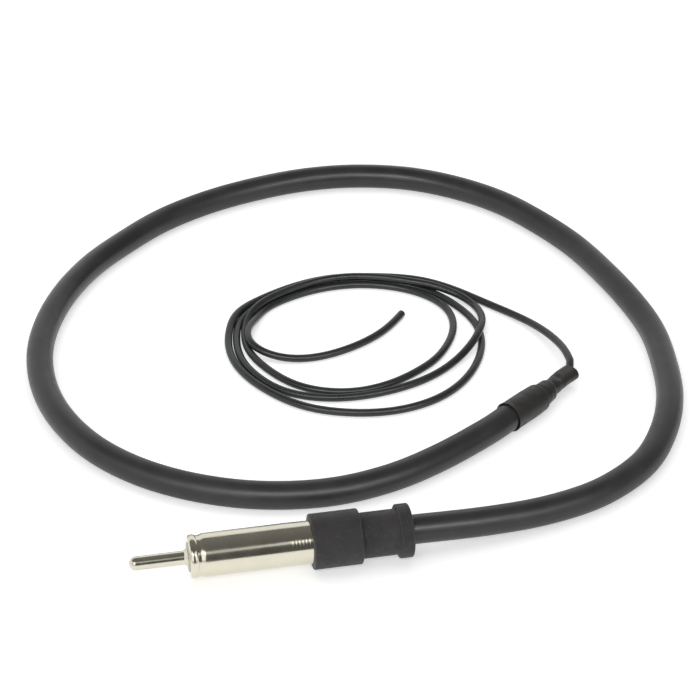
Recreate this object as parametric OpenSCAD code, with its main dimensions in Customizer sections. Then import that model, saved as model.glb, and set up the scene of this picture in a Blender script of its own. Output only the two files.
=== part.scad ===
// Soft wire aerial lead for a radio: a coaxial plug, one loop of thick coaxial cable,
// a shrunk splice and a thin receiving wire laid in a loose coil. Millimetres.
// The plug's axis runs along X with its pin towards -X. The table is z = 0.
// The origin lies on the table, under the middle of the plug.

/* [Centre pin] */
// Diameter of the centre pin
pin_d = 2.9; // [2.4:0.1:3.4]
// Length of the pin in front of the nose
pin_show = 12.1; // [9:0.1:15]
// Diameter of the small cone at the pin's root
pin_root_d = 4.2; // [3.6:0.1:5]
// Length of the cone at the pin's root
pin_root_len = 0.7; // [0.4:0.1:1.2]
// Diameter of the collar that holds the pin behind its insulator
pin_stop_d = 4.6; // [4:0.1:5.4]
// Thickness of the collar behind the insulator
pin_stop_len = 0.8; // [0.5:0.1:1.5]
// Length of the solder cup at the pin's tail
cup_len = 6.5; // [5:0.1:8]
// Bore of the solder cup
cup_bore_d = 1.6; // [1.3:0.1:1.9]
// Depth of the bore in the solder cup
cup_bore_len = 5; // [3.5:0.1:6]

/* [Barrel] */
// Outer diameter of the barrel
barrel_d = 9; // [8.4:0.1:10]
// Length of barrel between its nose and the collar
barrel_show = 25.1; // [20:0.1:32]
// Length of barrel that sits in the collar
barrel_seat = 6; // [4.5:0.1:7]
// Thickness of the barrel's sheet metal
barrel_wall = 0.45; // [0.35:0.05:0.6]
// Width of the rounded rim at the nose
rim_w = 1.8; // [1.4:0.1:2.4]
// Corner radius of the rim
rim_round = 0.6; // [0.3:0.05:0.7]
// Opening in the rolled nose
mouth_d = 6.2; // [5.6:0.1:6.6]
// Width of the rolled groove behind the rim
groove_w = 0.5; // [0.3:0.1:1]
// Depth of the rolled groove
groove_depth = 0.3; // [0.15:0.05:0.4]
// Length of the rounded shoulder behind the groove
shoulder_len = 1.2; // [0.8:0.1:1.8]
// How far the barrel's tail, which the collar holds, is drawn in all round
tail_draw = 0.07; // [0.05:0.01:0.15]
// Length of the slight taper between the plain barrel and the collar
tail_len = 4.85; // [4.8:0.05:6]
// Number of fine turned rings in front of the collar
ring_count = 6; // [3:1:6]
// Spacing of the fine rings
ring_pitch = 0.7; // [0.5:0.05:0.7]
// Width of one fine ring
ring_w = 0.3; // [0.2:0.05:0.4]
// Depth of one fine ring
ring_depth = 0.05; // [0.03:0.01:0.1]

/* [Insulator] */
// Length of the insulator in the nose
insulator_len = 8; // [6:0.1:10]
// How far the insulator stands out of the nose
insulator_proud = 0.2; // [0:0.05:0.4]

/* [Ferrule] */
// Length of the crimp ferrule in front of the cable's jacket
ferrule_front_len = 4; // [3:0.1:5]
// Length of the crimp ferrule over the cable's jacket
ferrule_back_len = 4; // [3:0.1:4.5]

/* [Collar] */
// Outer diameter of the collar
collar_d = 11.5; // [11.3:0.1:13]
// Length of the collar
collar_len = 10.1; // [9:0.1:12]
// Thickness of the web between the collar's two bores
collar_web = 1; // [0.8:0.1:1.5]
// Bevel on the collar's edges
collar_bevel = 0.3; // [0.1:0.05:0.5]

/* [Bushing] */
// Diameter of the bushing behind the collar
bushing_d = 9.5; // [9.2:0.1:10.4]
// Length of bushing between the collar and the flange
bushing_show = 7.8; // [5:0.1:10]
// Diameter of the flange
flange_d = 11.2; // [10.6:0.1:11.3]
// Thickness of the flange
flange_w = 2.8; // [2.4:0.1:4]
// Corner radius of the flange
flange_round = 0.4; // [0.2:0.05:0.8]
// Diameter of the spigot that fits in the collar
spigot_d = 8.4; // [8:0.1:8.8]

/* [Coaxial cable] */
// Outer diameter of the cable's jacket
cable_d = 6.15; // [5.6:0.05:6.4]
// Diameter over the braid
braid_d = 4.6; // [4.3:0.1:4.8]
// Diameter of the foam insulation round the core
foam_d = 3.7; // [3.3:0.1:3.9]
// Diameter of the bare core
core_d = 0.8; // [0.6:0.05:1]
// Length of bare braid in the plug
braid_strip = 4.5; // [3.5:0.1:5.5]
// Length of bare foam insulation in front of the braid
foam_strip = 4; // [2:0.1:5]

/* [Splice] */
// Outer diameter of the outer shrink sleeve
sleeve_d = 6.8; // [6.75:0.05:7.6]
// Length of the outer shrink sleeve
sleeve_len = 11; // [10.8:0.1:12]
// Length of the cable's jacket in the outer sleeve
sleeve_seat = 7.5; // [6:0.1:8]
// Diameter of the outer sleeve's front end
sleeve_front_d = 6.6; // [6.3:0.1:6.7]
// Corner radius of the outer sleeve's front end
sleeve_round = 0.9; // [0.4:0.05:1]
// Diameter of the inner shrink sleeve where it leaves the outer one
inner_d = 5.1; // [4.8:0.05:5.2]
// Diameter of the inner sleeve's neck
neck_d = 4; // [3.7:0.05:4.2]
// Length of the inner sleeve in front of the outer one
inner_show = 12.9; // [12:0.1:16]
// Width of the inner sleeve's flattened end
pinch_w = 4.4; // [4.1:0.1:4.8]
// Height of the inner sleeve's flattened end
pinch_h = 3; // [2.7:0.05:3.1]
// How far the inner sleeve's flattened end leans to the wire's side
mouth_lean = 1; // [0:0.1:1.2]
// Wall thickness of the inner sleeve
inner_wall = 0.35; // [0.3:0.05:0.4]
// Length of bare braid in the splice
splice_braid_strip = 1.2; // [0.8:0.1:1.5]
// Length of bare foam insulation in the splice
splice_foam_strip = 3; // [2:0.1:3.2]
// Diameter of the solder joint in the splice
joint_d = 2.2; // [2:0.1:2.4]

/* [Thin wire] */
// Outer diameter of the thin wire
wire_d = 1.8; // [1.6:0.05:1.85]
// Diameter of the thin wire's bare strands
strand_d = 0.7; // [0.5:0.05:0.8]

/* [Wire coil] */
// Outer diameter of the loose coil
coil_outer_d = 62.4; // [60:0.1:62.6]
// Diameter of the opening in the loose coil
coil_inner_d = 44.6; // [44:0.1:46]
// Number of wire layers in the coil's height
coil_layers = 2; // [1:1:3]

/* [Fits] */
// Gap on each side between pieces that are pressed or crimped together
press_gap = 0.03; // [0.02:0.01:0.05]
// Gap on each side between pieces that slide together
slip_gap = 0.1; // [0.06:0.01:0.15]

/* [Hidden] */
$fn = 64;
eps = 0.01;

// Distances along the plug, from the tip of the pin
nose_s = pin_show;
groove_s = nose_s + rim_w;
shoulder_s = groove_s + groove_w;
collar_s = nose_s + barrel_show;
tail_s = collar_s - tail_len;
barrel_end_s = collar_s + barrel_seat;
spigot_s = barrel_end_s + collar_web + press_gap * 2;
bushing_s = collar_s + collar_len;
flange_s = bushing_s + bushing_show;
plug_len = flange_s + flange_w;
insulator_end_s = nose_s + insulator_len;
cup_end_s = insulator_end_s + press_gap + pin_stop_len + cup_len;
ferrule_end_s = barrel_end_s - press_gap;
jacket_s = ferrule_end_s - ferrule_back_len;
ferrule_s = jacket_s - ferrule_front_len;
braid_s = jacket_s - braid_strip;
foam_s = braid_s - foam_strip;
core_s = cup_end_s - cup_bore_len + press_gap;

// Radii
barrel_r = barrel_d / 2;
tail_r = barrel_r - tail_draw;
bore_r = barrel_r - barrel_wall;
neck_bore_r = bore_r - groove_depth;
mouth_r = mouth_d / 2;
cable_r = cable_d / 2;
wire_r = wire_d / 2;

// Heights of the three axes above the table
plug_z = max(collar_d, flange_d) / 2;
splice_z = sleeve_d / 2;
plug_x = -plug_len / 2;

// The outer sleeve's mouth on the table, and the way the splice points
splice_xy = [60, 38.5];
splice_angle = 36;

// Route of the coaxial cable behind the flange: x, y and the share of the plug's height that is left
CABLE_ROUTE = [
    [46, 1.5, 0.5], [60, 4, 0.14], [73, 8.5, 0], [84.5, 16.5, 0], [92.5, 27.5, 0], [98, 40, 0],
    [101, 53.5, 0], [102.5, 67.5, 0], [101.5, 81.5, 0], [99, 95.5, 0], [95.5, 109, 0], [90, 122, 0],
    [83, 134, 0], [73.5, 144, 0], [62, 151.5, 0], [48.5, 155.5, 0], [35, 156, 0], [21.5, 153.5, 0],
    [8.5, 149, 0], [-4, 142, 0], [-14.5, 133, 0], [-24, 123, 0], [-31.5, 111.5, 0], [-37, 98.5, 0],
    [-40, 85, 0], [-40, 70.5, 0], [-37, 57, 0], [-31, 44.5, 0], [-22, 34, 0], [-10.5, 26, 0],
    [2.5, 21, 0], [16.5, 19.5, 0], [30, 22, 0], [42.5, 27.5, 0]
];

// Route of the thin wire from the splice to the coil: x, y and height of its underside
LEAD_ROUTE = [
    [79.8, 58.3, 3.2], [79.9, 62, 3], [79.5, 65.5, 2.5], [78.8, 70, 1.8], [77.7, 74.5, 1.2],
    [76, 78.5, 0.7], [73.5, 83, 0.3], [70.5, 87, 0.1], [67, 91.5, 0], [63, 96, 0], [59.5, 99.5, 0],
    [56, 102.5, 0]
];

// Route of the thin wire's free tail inside the coil: x, y and height of its underside
TAIL_ROUTE = [
    [10.6, 77.6, 1.3], [13.5, 76, 0.4], [17.5, 74.8, 0], [22, 74.2, 0], [26.5, 75, 0], [31, 76.5, 0],
    [35.5, 78.7, 0], [39.5, 81.2, 0], [43.5, 85, 0], [47, 89.5, 0]
];

// Middle of the coil's outline and of its opening, which lies off centre as the turns spread
coil_xy = [33.5, 79.5];
coil_hole_xy = [31.5, 81.5];
// Distances along the splice, from the outer sleeve's mouth
bare_core_len = 1.5;
joint_len = 4.2;
joint_taper = 0.8;
strand_len = 3.5;
taper_len = 1.8;
lip_len = 1.2;
cone_len = 0.8;
shoulder_show = 3.2;
neck_cone_len = 1.4;
neck_len = 1;
flatten_len = 4;
joint_a = sleeve_seat + splice_braid_strip + splice_foam_strip + bare_core_len;
joint_end_a = joint_a + joint_len;
lead_start_a = joint_end_a + slip_gap * 3;
lip_a = sleeve_len - lip_len;
neck_a = sleeve_len + shoulder_show + neck_cone_len;
inner_end_a = sleeve_len + inner_show;

// Diameter of the inner sleeve's root, which the outer sleeve's lip holds
root_d = sleeve_front_d - 2 * inner_wall - 2 * press_gap;
// Sideways place of the wire in the neck and in the flattened end, and of its strands beside the core
neck_lean = mouth_lean * 0.45;
neck_side = neck_lean + neck_d / 2 - inner_wall - wire_r - slip_gap;
lead_side = mouth_lean + (pinch_w - pinch_h) / 2;
strand_side = (core_d + strand_d) / 2 + press_gap;

// Turns a profile of radius and distance from the pin's tip about the plug's axis
module turned() {
    translate([plug_x, 0, plug_z])
        rotate([0, 90, 0])
            rotate_extrude() children();
}

// Moves a piece from the splice's own frame, its length along Z, onto the table
module at_splice() {
    translate([splice_xy.x, splice_xy.y, splice_z])
        rotate([0, 0, splice_angle])
            rotate([90, 0, 90]) children();
}

// A rectangle of a profile between two radii and two distances
module band(r0, r1, s0, s1) {
    translate([r0, s0]) square([r1 - r0, s1 - s0]);
}

// A tube with straight walls, along Z
module sleeve(r_out, r_in, a0, a1) {
    rotate_extrude() band(r_in, r_out, a0, a1);
}

// A point of the splice's axis frame in the part's frame
function splice_point(a, side, rise = 0) = [
    splice_xy.x + a * cos(splice_angle) - side * sin(splice_angle),
    splice_xy.y + a * sin(splice_angle) + side * cos(splice_angle),
    splice_z + rise
];

function unit(v) = v / norm(v);

function route_dir(p, i) = unit(p[min(i + 1, len(p) - 1)] - p[max(i - 1, 0)]);

function route_ring(c, dir, r, sides) =
    let (side = unit(cross([0, 0, 1], dir)), up = cross(dir, side))
    [for (k = [0 : sides - 1]) c + r * (cos(360 * k / sides) * side + sin(360 * k / sides) * up)];

// A closed tube swept along a list of points
module cord_tube(p, d, sides) {
    rings = [for (i = [0 : len(p) - 1]) each route_ring(p[i], route_dir(p, i), d / 2, sides)];
    last = (len(p) - 1) * sides;
    polyhedron(
        points = rings,
        faces = concat(
            [[for (k = [0 : sides - 1]) k]],
            [for (i = [0 : len(p) - 2], k = [0 : sides - 1])
                let (a = i * sides, b = a + sides, m = (k + 1) % sides)
                [a + k, b + k, b + m, a + m]],
            [[for (k = [sides - 1 : -1 : 0]) last + k]]
        ),
        convexity = 10
    );
}

// One cross-section of the inner sleeve: a circle where both sizes agree, else a flat oval
function oval(w, h, a, lean, sides) = [
    for (k = [0 : sides - 1])
        let (t = 360 * (k + 0.5) / sides)
        [lean + (w - h) / 2 * sign(cos(t)) + h / 2 * cos(t), h / 2 * sin(t), a]
];

// Shell of the inner sleeve, from its round root through the neck to its flattened mouth
module shrunk_shell(stations, wall, sides) {
    n = len(stations);
    outside = [for (s = stations) each oval(s[0], s[1], s[2], s[3], sides)];
    inside = [for (s = stations) each oval(s[0] - 2 * wall, s[1] - 2 * wall, s[2], s[3], sides)];
    inner = n * sides;
    function next(k) = (k + 1) % sides;
    polyhedron(
        points = concat(outside, inside),
        faces = concat(
            [for (i = [0 : n - 2], k = [0 : sides - 1])
                [i * sides + k, (i + 1) * sides + k, (i + 1) * sides + next(k), i * sides + next(k)]],
            [for (i = [0 : n - 2], k = [0 : sides - 1])
                [inner + i * sides + next(k), inner + (i + 1) * sides + next(k),
                 inner + (i + 1) * sides + k, inner + i * sides + k]],
            [for (k = [0 : sides - 1]) [k, next(k), inner + next(k), inner + k]],
            [for (k = [0 : sides - 1])
                let (o = (n - 1) * sides)
                [o + next(k), o + k, inner + o + k, inner + o + next(k)]]
        ),
        convexity = 4
    );
}

// Plug

module centre_pin() {
    r = pin_d / 2;
    root_s = nose_s - insulator_proud;
    stop_s = insulator_end_s + press_gap;
    color("gainsboro") turned() difference() {
        union() {
            intersection() {
                translate([0, r]) circle(r = r);
                band(0, r, 0, r);
            }
            band(0, r, r, cup_end_s);
            polygon([[0, root_s - pin_root_len], [r, root_s - pin_root_len],
                     [pin_root_d / 2, root_s], [0, root_s]]);
            band(0, pin_stop_d / 2, stop_s, stop_s + pin_stop_len);
        }
        band(-eps, cup_bore_d / 2, cup_end_s - cup_bore_len, cup_end_s + eps);
    }
}

module nose_insulator() {
    hole_r = pin_d / 2 + press_gap;
    front_s = nose_s - insulator_proud + press_gap;
    color("ivory") turned() {
        band(hole_r, mouth_r - press_gap, front_s, nose_s + barrel_wall + press_gap);
        band(hole_r, bore_r - press_gap, nose_s + barrel_wall + press_gap, groove_s - press_gap);
        band(hole_r, neck_bore_r - press_gap, groove_s - press_gap, insulator_end_s);
        band(hole_r, bore_r - press_gap, shoulder_s + shoulder_len + press_gap, insulator_end_s);
    }
}

// The rim, the groove and the arc of the shoulder are rolled into one drawn tube
module barrel() {
    arc_r = (shoulder_len * shoulder_len + groove_depth * groove_depth) / (2 * groove_depth);
    body_s = shoulder_s + shoulder_len;
    slope = (barrel_r - tail_r) / tail_len;
    color("lightgray") turned() difference() {
        union() {
            band(0, barrel_r - rim_round, nose_s, groove_s);
            band(0, barrel_r, nose_s + rim_round, groove_s - rim_round);
            for (s = [nose_s + rim_round, groove_s - rim_round])
                translate([barrel_r - rim_round, s]) circle(r = rim_round);
            band(0, barrel_r - groove_depth, groove_s - rim_round, shoulder_s);
            intersection() {
                translate([barrel_r - arc_r, body_s]) circle(r = arc_r);
                band(0, barrel_r, shoulder_s, body_s);
            }
            band(0, barrel_r, body_s, tail_s);
            polygon([[0, tail_s], [barrel_r, tail_s], [tail_r, collar_s],
                     [tail_r, barrel_end_s], [0, barrel_end_s]]);
        }
        band(-eps, mouth_r, nose_s - eps, nose_s + barrel_wall + eps);
        band(-eps, bore_r, nose_s + barrel_wall, groove_s);
        band(-eps, neck_bore_r, groove_s - eps, body_s + eps);
        band(-eps, bore_r, body_s, barrel_end_s + eps);
        for (i = [1 : ring_count])
            translate([tail_r + slope * ring_pitch * i - ring_depth, collar_s - ring_pitch * i])
                square([barrel_r, ring_w]);
    }
}

module crimp_ferrule() {
    color("goldenrod") turned() {
        band(braid_d / 2 + press_gap, bore_r - press_gap, ferrule_s, jacket_s - press_gap);
        band(cable_r + press_gap, bore_r - press_gap, jacket_s - press_gap, ferrule_end_s);
    }
}

module boot_collar() {
    collar_r = collar_d / 2;
    color("#2e2e30") turned() difference() {
        polygon([[0, collar_s], [collar_r - collar_bevel, collar_s], [collar_r, collar_s + collar_bevel],
                 [collar_r, bushing_s - collar_bevel], [collar_r - collar_bevel, bushing_s], [0, bushing_s]]);
        band(-eps, tail_r + press_gap, collar_s - eps, barrel_end_s + press_gap);
        band(-eps, cable_r + slip_gap, barrel_end_s, spigot_s);
        band(-eps, spigot_d / 2 + press_gap, spigot_s - press_gap, bushing_s + eps);
    }
}

module cable_bushing() {
    flange_r = flange_d / 2;
    color("#2a2a2c") turned() difference() {
        union() {
            band(0, spigot_d / 2, spigot_s, bushing_s + press_gap);
            band(0, bushing_d / 2, bushing_s + press_gap, flange_s + flange_round);
            band(0, flange_r - flange_round, flange_s, plug_len);
            band(0, flange_r, flange_s + flange_round, plug_len - flange_round);
            for (s = [flange_s + flange_round, plug_len - flange_round])
                translate([flange_r - flange_round, s]) circle(r = flange_round);
        }
        band(-eps, cable_r + slip_gap, spigot_s - eps, plug_len + eps);
    }
}

module plug_core() {
    color("peru") turned() band(0, core_d / 2, core_s, jacket_s);
}

module plug_foam() {
    color("white") turned() band(core_d / 2 + press_gap, foam_d / 2, foam_s, jacket_s);
}

module plug_braid() {
    color("silver") turned() band(foam_d / 2 + press_gap, braid_d / 2, braid_s, jacket_s);
}

// Solder that fills the pin's cup round the core and stands out of it as a small cone
module plug_solder() {
    bead_len = core_d;
    in_r = core_d / 2 + press_gap;
    out_r = cup_bore_d / 2 - press_gap;
    bead_s = cup_end_s + press_gap;
    color("lightsteelblue") turned() {
        band(in_r, out_r, core_s, bead_s);
        polygon([[in_r, bead_s], [pin_d / 2, bead_s], [in_r, bead_s + bead_len]]);
    }
}

// Cable

function cable_points() = concat(
    [[plug_x + jacket_s, 0, plug_z], [plug_x + plug_len, 0, plug_z]],
    [for (p = CABLE_ROUTE) [p.x, p.y, cable_r + p.z * (plug_z - cable_r)]],
    [splice_point(-cable_d, 0, (cable_r - splice_z) / 3), splice_point(0, 0), splice_point(sleeve_seat, 0)]
);

module coax_cable() {
    color("#1c1c1e") cord_tube(cable_points(), cable_d, 12);
}

// Splice

module splice_braid() {
    color("silver") at_splice()
        sleeve(braid_d / 2, foam_d / 2 + press_gap, sleeve_seat, sleeve_seat + splice_braid_strip);
}

module splice_foam() {
    color("white") at_splice()
        sleeve(foam_d / 2, core_d / 2 + press_gap, sleeve_seat,
               sleeve_seat + splice_braid_strip + splice_foam_strip);
}

module splice_core() {
    color("peru") at_splice()
        sleeve(core_d / 2, 0, sleeve_seat, joint_end_a - joint_taper);
}

// Solder bead round the core and the strands, which lie side by side in it
module splice_joint() {
    end_r = joint_d / 3;
    mid_r = joint_d / 2;
    color("lightsteelblue") at_splice() difference() {
        translate([strand_side / 2, 0, joint_a]) rotate_extrude()
            polygon([[0, 0], [end_r, 0], [mid_r, joint_taper],
                     [mid_r, joint_len - joint_taper], [end_r, joint_len], [0, joint_len]]);
        translate([0, 0, joint_a - eps]) cylinder(r = core_d / 2 + press_gap, h = joint_len + 2 * eps);
        translate([strand_side, 0, joint_a - eps])
            cylinder(r = strand_d / 2 + press_gap, h = joint_len + 2 * eps);
    }
}

module wire_strands() {
    color("peru") at_splice()
        translate([strand_side, 0, lead_start_a - strand_len]) cylinder(d = strand_d, h = strand_len);
}

// Stations from the root to the flattened end: width, height, distance from the outer sleeve's mouth and lean
module splice_inner_sleeve() {
    flat_a = neck_a + neck_len + flatten_len;
    color("#242426") at_splice() shrunk_shell([
        [root_d, root_d, sleeve_seat + press_gap, 0],
        [root_d, root_d, lip_a - press_gap - cone_len, 0],
        [inner_d, inner_d, lip_a - press_gap, 0],
        [inner_d, inner_d, sleeve_len + press_gap, 0],
        [inner_d, inner_d, neck_a - neck_cone_len, neck_lean / 2],
        [neck_d, neck_d, neck_a, neck_lean],
        [neck_d, neck_d, neck_a + neck_len, neck_lean],
        [(neck_d + pinch_w) / 2, (neck_d + pinch_h) / 2, flat_a - flatten_len / 2,
         (neck_lean + mouth_lean) / 2],
        [pinch_w, pinch_h, flat_a, mouth_lean],
        [pinch_w, pinch_h, inner_end_a, mouth_lean]
    ], inner_wall, 24);
}

module splice_outer_sleeve() {
    out_r = sleeve_d / 2;
    front_r = sleeve_front_d / 2;
    color("#29292b") at_splice() rotate_extrude() difference() {
        union() {
            polygon([[0, 0], [out_r, 0], [out_r, sleeve_seat], [front_r, sleeve_seat + taper_len],
                     [front_r, sleeve_len - sleeve_round], [0, sleeve_len - sleeve_round]]);
            band(0, front_r - sleeve_round, sleeve_len - 2 * sleeve_round, sleeve_len);
            translate([front_r - sleeve_round, sleeve_len - sleeve_round]) circle(r = sleeve_round);
        }
        band(-eps, cable_r + press_gap, -eps, sleeve_seat + press_gap / 2);
        band(-eps, front_r - inner_wall, sleeve_seat, lip_a);
        band(-eps, inner_d / 2 + press_gap, lip_a - eps, sleeve_len + eps);
    }
}

// Thin wire

function lead_points() = concat(
    [splice_point(lead_start_a, neck_side), splice_point(lead_start_a + wire_r, neck_side),
     splice_point(inner_end_a - 3 * wire_r, lead_side), splice_point(inner_end_a + wire_r / 4, lead_side),
     splice_point(inner_end_a + 1.6 * wire_r, lead_side + wire_r, wire_r / 3)],
    [for (p = LEAD_ROUTE) [p.x, p.y, wire_r + p.z]]
);

module wire_lead() {
    color("#202022") cord_tube(lead_points(), wire_d, 8);
}

module wire_coil() {
    coil_h = coil_layers * wire_d;
    outer_r = coil_outer_d / 2;
    color("#202022") difference() {
        translate([coil_xy.x, coil_xy.y, 0]) rotate_extrude() {
            band(0, outer_r - wire_r, 0, coil_h);
            band(0, outer_r, wire_r, coil_h - wire_r);
            for (z = [wire_r, coil_h - wire_r])
                translate([outer_r - wire_r, z]) circle(r = wire_r);
        }
        translate([coil_hole_xy.x, coil_hole_xy.y, -eps])
            cylinder(d = coil_inner_d, h = coil_h + 2 * eps, $fn = 128);
    }
}

module wire_tail() {
    color("#202022") cord_tube([for (p = TAIL_ROUTE) [p.x, p.y, wire_r + p.z]], wire_d, 8);
}

centre_pin();
nose_insulator();
barrel();
crimp_ferrule();
boot_collar();
cable_bushing();
plug_core();
plug_foam();
plug_braid();
plug_solder();
coax_cable();
splice_braid();
splice_foam();
splice_core();
splice_joint();
wire_strands();
splice_inner_sleeve();
splice_outer_sleeve();
wire_lead();
wire_coil();
wire_tail();
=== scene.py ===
import math

import bmesh
import bpy
import numpy as np
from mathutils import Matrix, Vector


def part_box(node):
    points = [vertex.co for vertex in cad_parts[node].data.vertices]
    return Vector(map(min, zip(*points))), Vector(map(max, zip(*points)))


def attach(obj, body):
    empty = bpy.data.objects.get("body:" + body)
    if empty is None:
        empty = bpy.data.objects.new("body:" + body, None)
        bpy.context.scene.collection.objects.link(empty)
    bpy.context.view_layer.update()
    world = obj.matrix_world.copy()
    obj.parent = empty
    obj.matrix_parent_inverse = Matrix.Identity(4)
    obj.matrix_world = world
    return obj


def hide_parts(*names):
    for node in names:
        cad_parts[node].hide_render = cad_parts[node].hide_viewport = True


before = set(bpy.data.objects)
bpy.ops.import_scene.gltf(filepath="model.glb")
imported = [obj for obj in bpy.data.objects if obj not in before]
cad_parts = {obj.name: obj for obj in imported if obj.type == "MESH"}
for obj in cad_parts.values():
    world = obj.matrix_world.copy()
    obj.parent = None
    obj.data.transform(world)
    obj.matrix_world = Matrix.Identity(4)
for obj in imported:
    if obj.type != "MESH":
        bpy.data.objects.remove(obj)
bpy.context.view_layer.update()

bl_info = {
    "name": "Wire Aerial Lead",
    "version": (1, 0, 0),
    "blender": (4, 5, 0),
    "location": "View3D > Sidebar > Aerial",
    "description": "Builds the finished look of a soft wire dipole aerial lead over its CAD frame",
    "category": "Object",
}

MM = 0.001
PLUG_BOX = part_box("boot_collar")

# Route of the coaxial cable behind the flange, as in the part's source: x and y in millimetres and
# the share of the plug's height above the table that is left, where there is any
CABLE_ROUTE = [
    (46, 1.5, 0.5), (60, 4, 0.14), (73, 8.5), (84.5, 16.5), (92.5, 27.5), (98, 40), (101, 53.5),
    (102.5, 67.5), (101.5, 81.5), (99, 95.5), (95.5, 109), (90, 122), (83, 134), (73.5, 144),
    (62, 151.5), (48.5, 155.5), (35, 156), (21.5, 153.5), (8.5, 149), (-4, 142), (-14.5, 133),
    (-24, 123), (-31.5, 111.5), (-37, 98.5), (-40, 85), (-40, 70.5), (-37, 57), (-31, 44.5),
    (-22, 34), (-10.5, 26), (2.5, 21), (16.5, 19.5), (30, 22), (42.5, 27.5),
]

# Route of the thin wire from the splice, round its three turns and along its free tail: x, y and
# the height of its underside where it is off the table, in millimetres
WIRE_ROUTE = [
    # from the splice's mouth back to the coil
    (79.8, 58.3, 3.2), (79.9, 62, 3), (79.5, 65.5, 2.5), (78.8, 70, 1.8), (77.7, 74.5, 1.2),
    (76, 78.5, 0.7), (73.5, 83, 0.3), (70.5, 87, 0.1), (67, 91.5), (63.5, 96), (59.5, 100.5),
    (55, 104), (50.5, 106), (45, 107.5), (39.5, 108.6), (34, 109.2, 0.1),
    # first turn, outermost on the left
    (28.6, 108.5), (23.2, 107), (20, 105.5), (17.2, 104.1), (14.2, 102.3, 0.1), (11, 99.6, 0.4),
    (8.2, 96.2, 0.7), (6, 92.2, 0.6), (4.6, 88.3, 0.2), (3.8, 84.3), (3.7, 80.3), (4.1, 75.6),
    (5.5, 71), (7.3, 67.1), (9.7, 63.1), (14.2, 57.4), (19, 53.6), (24.5, 51.3), (30, 49.8),
    (35.5, 49.3), (41, 50), (46, 51.6), (50.5, 54.2), (54.5, 57.8), (58, 62.2), (61, 67.7),
    (63, 73.5), (63.8, 79), (63.2, 84), (61.5, 89), (59, 94), (56, 98.3), (51.5, 102), (46, 104.8),
    (40, 106.5), (34, 107.4),
    # second turn, which rises over the first on the right
    (28.9, 106.8), (23.8, 105.2), (20.8, 103.7), (18.1, 102.5), (15.3, 100.9), (12.3, 98.6),
    (9.2, 95.4), (7.4, 91.8), (6.5, 88.3), (6, 85), (5.6, 81.5), (5.8, 77.6), (7, 72.2),
    (8.9, 68.5), (10.5, 65.4), (13.3, 61.8), (16.5, 59.7), (20.5, 58), (25, 56.8), (31.5, 56.7),
    (37.5, 57.6), (43.5, 59.3), (49, 62), (53.5, 65.4), (57, 68.2, 0.6), (60, 71.3, 1.5),
    (62.8, 75.4, 1.8), (64.6, 80, 1.4), (65.8, 85.5, 0.3), (65.5, 89.4), (64.3, 92.5, 0.2),
    (61.8, 94.8, 0.9), (58, 97, 1.6), (54, 99.6, 1.7), (50, 102, 1.7), (45, 104.3, 1.7),
    (39.5, 106, 1.7), (33.5, 106.5, 1.7),
    # third turn, which drops between its neighbours and passes under the tail on the left
    (29.2, 105.8, 1.6), (24.1, 104.2, 1.6), (21.1, 102.7, 1.6), (18.5, 101.5, 1.6),
    (15.9, 100.1, 1.5), (12.9, 97.7, 1.2), (10.4, 94.6, 0.7), (9, 91.2, 0.2), (8.4, 88), (8, 84.7),
    (7.9, 81), (8.9, 77), (10.4, 73.4), (12.4, 69.7), (15.2, 65.2), (18.7, 62.1), (22.8, 59.9),
    (27, 58.8), (31.5, 58.6), (36, 59.6), (41, 61.6), (46, 64.8), (50.5, 68), (53.9, 72.7),
    (56.6, 77.3), (58.3, 82.1), (58.8, 87), (58.2, 91), (56, 95), (52.5, 99), (48.5, 101.7),
    (43.5, 104), (37.5, 105.2), (32, 105),
    # free tail, over the other turns on the left and then across the opening
    (28.8, 104.6), (24.5, 103.3), (21.4, 101.9), (18.8, 100.8), (16.3, 99.4), (13.6, 97.3, 0.1),
    (11.1, 94, 0.5), (9.3, 89.6, 1.2), (8.3, 85, 1.7), (8, 81.8, 1.8), (8.8, 79.2, 1.7),
    (10.6, 77.6, 1.3), (13.5, 76, 0.4), (17.5, 74.8), (22, 74.2), (26.5, 75), (31, 76.5),
    (35.5, 78.7), (39.5, 81.2), (43.5, 85), (47, 89.5),
]


# --- Colour and node helpers ---

def linear(code):
    """A colour's sRGB hex code as linear red, green and blue."""
    channels = [int(code[i:i + 2], 16) / 255 for i in (0, 2, 4)]
    return tuple(c / 12.92 if c <= 0.04045 else ((c + 0.055) / 1.055) ** 2.4 for c in channels)


def rgba(colour):
    return (*colour[:3], 1.0)


def shade(colour, factor):
    return tuple(min(1.0, c * factor) for c in colour[:3])


def add(tree, kind, inputs=(), **settings):
    """Adds a node with its settings. An input is a value, or another node's output to link."""
    node = tree.nodes.new(kind)
    for key, value in settings.items():
        setattr(node, key, value)
    for key, value in dict(inputs).items():
        if isinstance(value, bpy.types.NodeSocket):
            tree.links.new(value, node.inputs[key])
        else:
            node.inputs[key].default_value = value
    return node


def new_material(name, **shader):
    """An empty node material of that name, with its shader's uniform values set on the shader."""
    material = bpy.data.materials.new(name)
    material.use_nodes = True
    tree = material.node_tree
    tree.nodes.clear()
    bsdf = add(tree, "ShaderNodeBsdfPrincipled", shader)
    add(tree, "ShaderNodeOutputMaterial", {"Surface": bsdf.outputs["BSDF"]})
    return material, tree


def fed(material, outputs):
    """The material, with each output linked to its shader's input of that name."""
    tree = material.node_tree
    for name, output in outputs.items():
        tree.links.new(output, tree.nodes["Principled BSDF"].inputs[name])
    return material


def object_space(tree):
    return add(tree, "ShaderNodeTexCoord").outputs["Object"]


def stretched(tree, vector, scale):
    return add(tree, "ShaderNodeMapping", {"Vector": vector, "Scale": scale}).outputs[0]


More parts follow.
